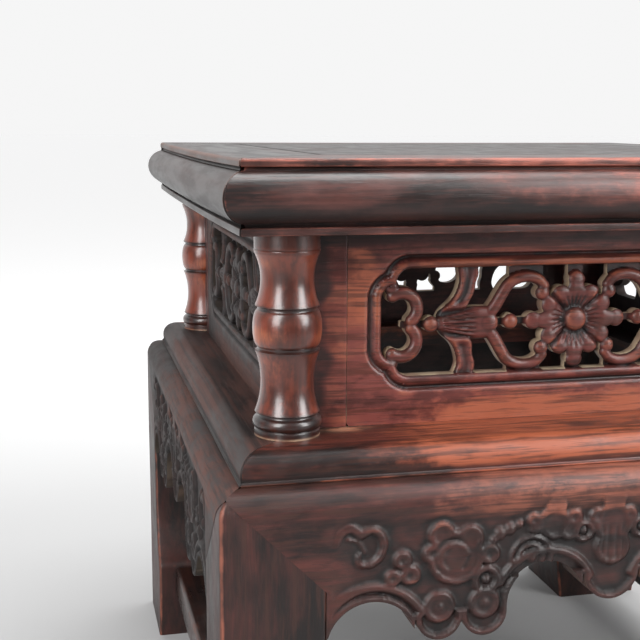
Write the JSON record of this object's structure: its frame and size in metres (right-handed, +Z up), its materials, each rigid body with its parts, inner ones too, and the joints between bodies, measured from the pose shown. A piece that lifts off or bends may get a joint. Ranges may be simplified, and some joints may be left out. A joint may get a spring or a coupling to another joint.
{
  "type": "chinese hardwood stand",
  "caption": "Low square hardwood stand with moulded top, pierced high waist between bamboo-node columns, carved scalloped aprons, hoof feet and foot stretchers; holds a vase or ornament.",
  "frame": {"origin": "on the floor, below the centre of the square top", "axes": "+Z up; the front faces -Y; +X to the right seen from the front"},
  "size_m": [0.405, 0.405, 0.38],
  "materials": {
    "top_wood": "aged dark lacquer with a satin sheen",
    "column_wood": "polished red-brown hardwood",
    "carved_wood": "carved hardwood with dark recesses and dusty cut edges",
    "moulding_wood": "rubbed red-brown hardwood",
    "leg_wood": "dark lacquered hardwood with worn edges",
    "stretcher_wood": "dark hardwood, dull",
    "inner_wood": "bare hardwood"
  },
  "bodies": {
    "root": {"top_panel": "top_wood", "top_rail_front": "top_wood", "top_rail_right": "top_wood", "top_rail_back": "top_wood", "top_rail_left": "top_wood", "waist_column_front_right": "column_wood", "waist_column_back_right": "column_wood", "waist_column_back_left": "column_wood", "waist_column_front_left": "column_wood", "waist_panel_front": "carved_wood", "waist_panel_right": "carved_wood", "waist_panel_back": "carved_wood", "waist_panel_left": "carved_wood", "step_moulding_front": "moulding_wood", "step_moulding_right": "moulding_wood", "step_moulding_back": "moulding_wood", "step_moulding_left": "moulding_wood", "apron_front": "leg_wood", "apron_right": "leg_wood", "apron_back": "leg_wood", "apron_left": "leg_wood", "leg_front_right": "leg_wood", "leg_back_right": "leg_wood", "leg_back_left": "leg_wood", "leg_front_left": "leg_wood", "stretcher_front": "stretcher_wood", "stretcher_right": "stretcher_wood", "stretcher_back": "stretcher_wood", "stretcher_left": "stretcher_wood", "batten_left": "inner_wood", "batten_right": "inner_wood"}
  },
  "joints": []
}
